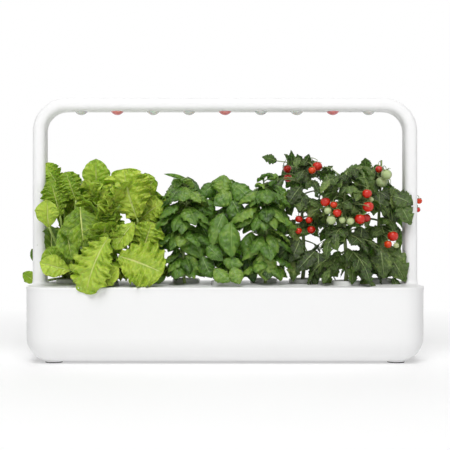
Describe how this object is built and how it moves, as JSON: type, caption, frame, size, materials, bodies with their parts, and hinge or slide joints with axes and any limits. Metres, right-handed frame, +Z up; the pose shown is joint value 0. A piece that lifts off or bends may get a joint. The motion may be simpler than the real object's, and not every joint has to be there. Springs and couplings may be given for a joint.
{
  "type": "countertop hydroponic garden",
  "caption": "Countertop hydroponic garden: long water tank with lift-off deck, planting trays with plant pods, and an arched grow lamp on extension legs.",
  "frame": {"origin": "on the table, under the middle of the tank", "axes": "+X to the right along the tank, +Y to the back where the power inlet is, +Z up"},
  "size_m": [0.6016, 0.1878, 0.4057],
  "materials": {
    "white_shell": "satin white moulded plastic",
    "white_trim": "satin white moulded plastic",
    "foot_rubber": "matt black rubber",
    "float_orange": "light foamed plastic",
    "lens_clear": "clear frosted plastic",
    "lens_red": "red tinted plastic",
    "board_green": "circuit board",
    "led_board_white": "white coated aluminium strip",
    "emitter_yellow": "phosphor",
    "inlet_black": "moulded black",
    "button_grey": "satin grey",
    "contact_brass": "bright brass",
    "screw_steel": "zinc plated",
    "cable_white": "soft white sheath",
    "cup_grey": "glossy light grey plastic",
    "soil_brown": "dark fibrous substrate",
    "lettuce_leaf": "fresh green leaf",
    "basil_leaf": "glossy green leaf",
    "tomato_leaf": "dark green leaf",
    "tomato_fruit": "glossy red skin",
    "tomato_unripe": "glossy pale green skin"
  },
  "bodies": {
    "tank": {"tank": "white_shell", "feet": "foot_rubber"},
    "deck": {"deck": "white_shell", "float_guide": "white_trim", "bay_cover": "white_trim", "bay_screws": "screw_steel", "control_board": "board_green", "dc_inlet": "inlet_black", "base_cable": "cable_white", "socket_contacts": "contact_brass"},
    "fill_cap": {"fill_cap": "white_trim"},
    "float": {"float": "float_orange"},
    "timer_button": {"timer_button": "button_grey"},
    "extension_left": {"extension_left": "white_shell", "extension_plug_left": "white_trim"},
    "extension_right": {"extension_right": "white_shell", "extension_plug_right": "white_trim", "extension_contacts": "contact_brass"},
    "arch": {"arch_tube": "white_shell", "arch_plug_left": "white_trim", "arch_plug_right": "white_trim", "arch_contacts": "contact_brass", "arch_cable": "cable_white", "lens_white": "lens_clear", "lens_red": "lens_red", "led_board": "led_board_white", "led_emitters": "emitter_yellow"},
    "tray_left": {"tray_left": "white_shell"},
    "tray_middle": {"tray_middle": "white_shell"},
    "tray_right": {"tray_right": "white_shell"},
    "pod_1": {"pod_cup_1": "cup_grey", "soil_plug_1": "soil_brown", "lettuce_1": "lettuce_leaf"},
    "pod_2": {"pod_cup_2": "cup_grey", "soil_plug_2": "soil_brown", "lettuce_2": "lettuce_leaf"},
    "pod_3": {"pod_cup_3": "cup_grey", "soil_plug_3": "soil_brown", "lettuce_3": "lettuce_leaf"},
    "pod_4": {"pod_cup_4": "cup_grey", "soil_plug_4": "soil_brown", "basil_4": "basil_leaf"},
    "pod_5": {"pod_cup_5": "cup_grey", "soil_plug_5": "soil_brown", "basil_5": "basil_leaf"},
    "pod_6": {"pod_cup_6": "cup_grey", "soil_plug_6": "soil_brown", "basil_6": "basil_leaf"},
    "pod_7": {"pod_cup_7": "cup_grey", "soil_plug_7": "soil_brown", "tomato_7": "tomato_leaf", "tomato_fruit_7": "tomato_fruit"},
    "pod_8": {"pod_cup_8": "cup_grey", "soil_plug_8": "soil_brown", "tomato_8": "tomato_leaf", "tomato_fruit_8": "tomato_fruit"},
    "pod_9": {"pod_cup_9": "cup_grey", "soil_plug_9": "soil_brown", "tomato_9": "tomato_leaf", "tomato_fruit_9": "tomato_fruit"}
  },
  "joints": [
    {"name": "deck_lift", "type": "slide", "parent": "tank", "child": "deck", "axis": [0, 0, 1], "range_m": [0, 0.07]},
    {"name": "fill_cap_lift", "type": "slide", "parent": "deck", "child": "fill_cap", "axis": [0, 0, 1], "range_m": [0, 0.02]},
    {"name": "float_rise", "type": "slide", "parent": "deck", "child": "float", "axis": [0, 0, 1], "range_m": [0, 0.03]},
    {"name": "timer_button_press", "type": "slide", "parent": "deck", "child": "timer_button", "axis": [0, -1, 0], "range_m": [0, 0.0015], "stiffness_N_per_m": 600},
    {"name": "extension_left_lift", "type": "slide", "parent": "deck", "child": "extension_left", "axis": [0, 0, 1], "range_m": [0, 0.03]},
    {"name": "extension_right_lift", "type": "slide", "parent": "deck", "child": "extension_right", "axis": [0, 0, 1], "range_m": [0, 0.03]},
    {"name": "arch_lift", "type": "slide", "parent": "extension_left", "child": "arch", "axis": [0, 0, 1], "range_m": [0, 0.03]},
    {"name": "tray_left_lift", "type": "slide", "parent": "deck", "child": "tray_left", "axis": [0, 0, 1], "range_m": [0, 0.018]},
    {"name": "tray_middle_lift", "type": "slide", "parent": "deck", "child": "tray_middle", "axis": [0, 0, 1], "range_m": [0, 0.018]},
    {"name": "tray_right_lift", "type": "slide", "parent": "deck", "child": "tray_right", "axis": [0, 0, 1], "range_m": [0, 0.018]},
    {"name": "pod_1_lift", "type": "slide", "parent": "tray_left", "child": "pod_1", "axis": [0, 0, 1], "range_m": [0, 0.032]},
    {"name": "pod_2_lift", "type": "slide", "parent": "tray_left", "child": "pod_2", "axis": [0, 0, 1], "range_m": [0, 0.032]},
    {"name": "pod_3_lift", "type": "slide", "parent": "tray_left", "child": "pod_3", "axis": [0, 0, 1], "range_m": [0, 0.032]},
    {"name": "pod_4_lift", "type": "slide", "parent": "tray_middle", "child": "pod_4", "axis": [0, 0, 1], "range_m": [0, 0.032]},
    {"name": "pod_5_lift", "type": "slide", "parent": "tray_middle", "child": "pod_5", "axis": [0, 0, 1], "range_m": [0, 0.032]},
    {"name": "pod_6_lift", "type": "slide", "parent": "tray_middle", "child": "pod_6", "axis": [0, 0, 1], "range_m": [0, 0.032]},
    {"name": "pod_7_lift", "type": "slide", "parent": "tray_right", "child": "pod_7", "axis": [0, 0, 1], "range_m": [0, 0.032]},
    {"name": "pod_8_lift", "type": "slide", "parent": "tray_right", "child": "pod_8", "axis": [0, 0, 1], "range_m": [0, 0.032]},
    {"name": "pod_9_lift", "type": "slide", "parent": "tray_right", "child": "pod_9", "axis": [0, 0, 1], "range_m": [0, 0.032]}
  ],
  "couplings": [
    {"joint": "extension_right_lift", "follows": "extension_left_lift", "ratio": 1}
  ]
}
